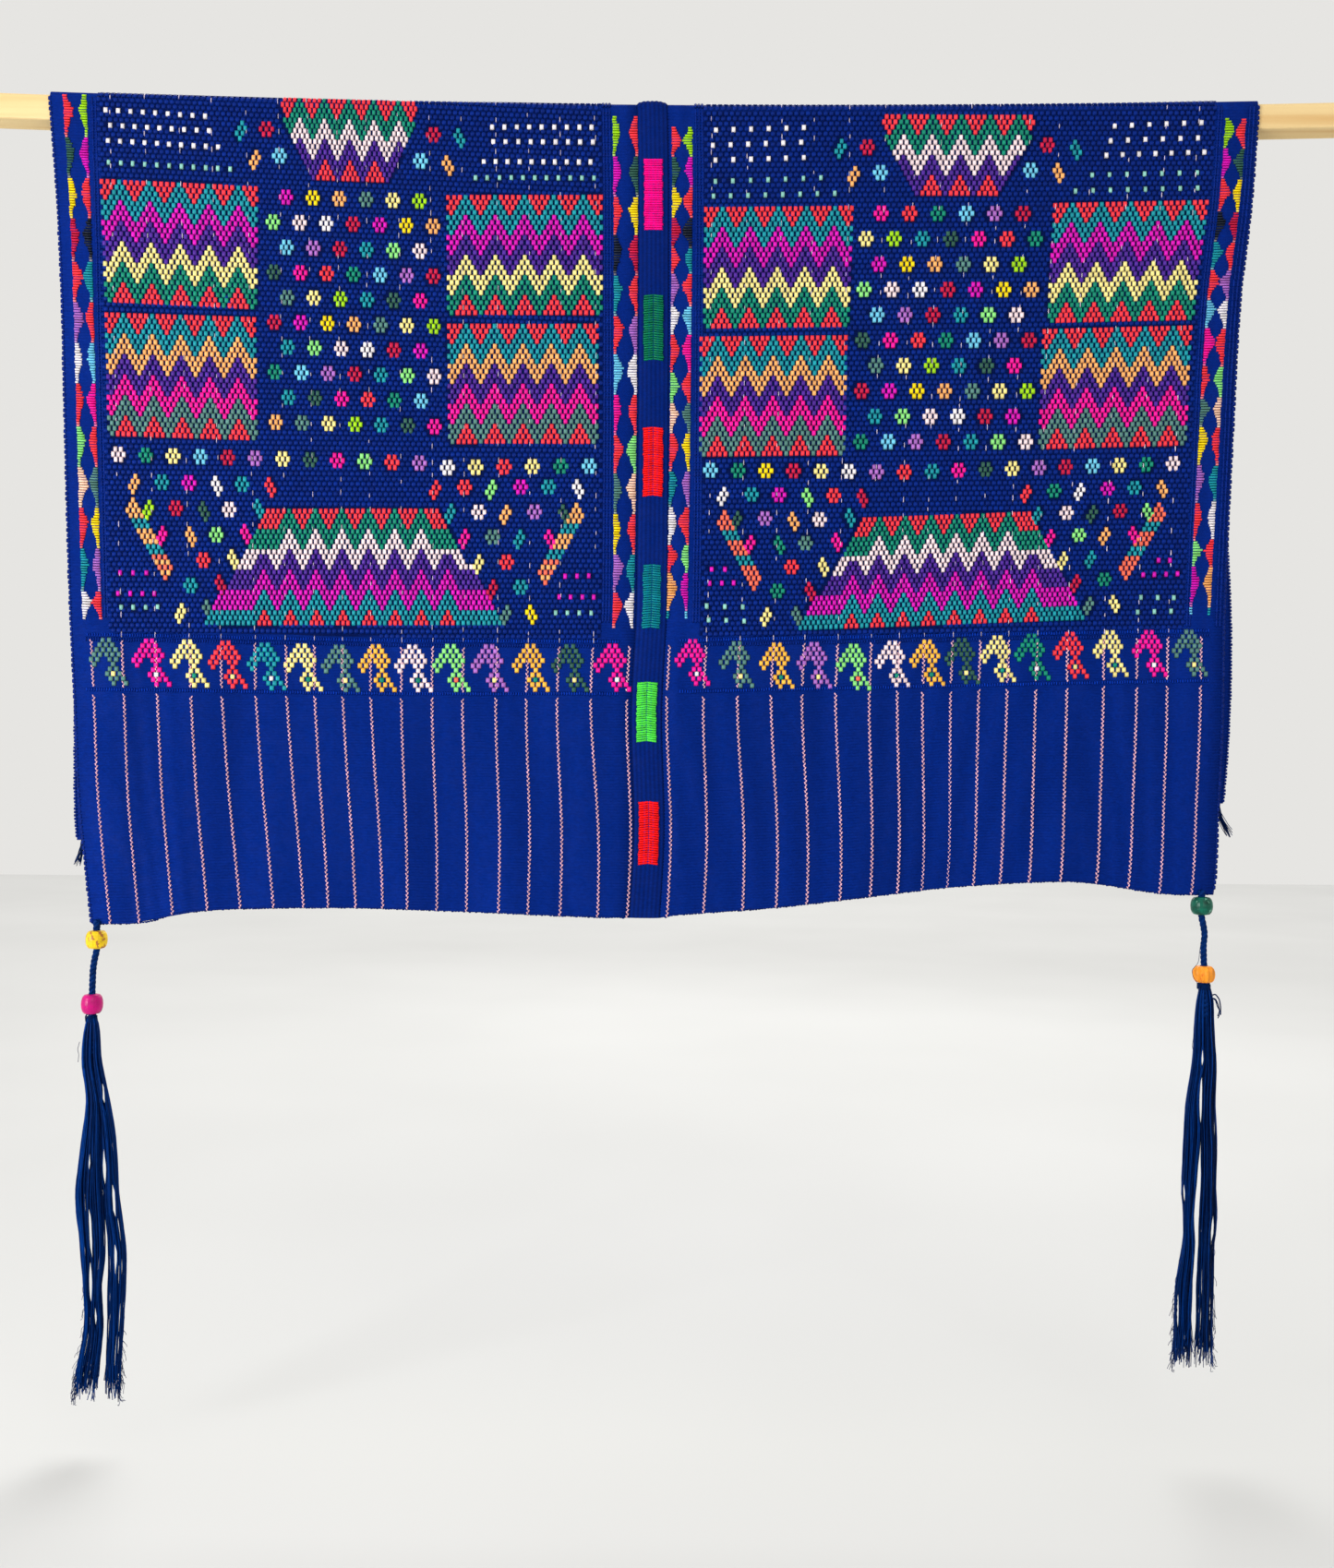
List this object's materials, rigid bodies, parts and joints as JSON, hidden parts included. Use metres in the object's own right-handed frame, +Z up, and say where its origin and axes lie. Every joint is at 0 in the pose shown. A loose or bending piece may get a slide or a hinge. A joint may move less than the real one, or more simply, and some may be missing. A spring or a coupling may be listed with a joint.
{
  "type": "woven wall tapestry on wooden rod",
  "caption": "Hand-woven blue cotton hanging of joined brocaded panels with pink stripes, beaded corner tassels and a stitched seam, folded over a plain square wooden rod.",
  "frame": {"origin": "middle of the rod's length, on its centre line", "axes": "+X to the right along the rod, seen from the front; -Y out of the cloth's face; +Z up"},
  "size_m": [1.14, 0.0396, 0.9814],
  "materials": {
    "rod_wood": "planed pale pine, unvarnished",
    "panel_cotton": "matt woven cotton with pink warp stripes and many-coloured brocade",
    "join_cotton": "raised stitching with satin-stitched coloured blocks",
    "tassel_cotton": "loose cotton threads",
    "bead_yellow": "painted wood, chipped",
    "bead_magenta": "painted wood",
    "bead_green": "painted wood, worn",
    "bead_orange": "painted ribbed wood"
  },
  "bodies": {
    "root": {"rod": "rod_wood", "panel_left": "panel_cotton", "panel_right": "panel_cotton", "join_strip": "join_cotton", "tassel_left": "tassel_cotton", "tassel_right": "tassel_cotton", "tuft_back_left": "tassel_cotton", "tuft_back_right": "tassel_cotton", "bead_left_upper": "bead_yellow", "bead_left_lower": "bead_magenta", "bead_right_upper": "bead_green", "bead_right_lower": "bead_orange"}
  },
  "joints": []
}
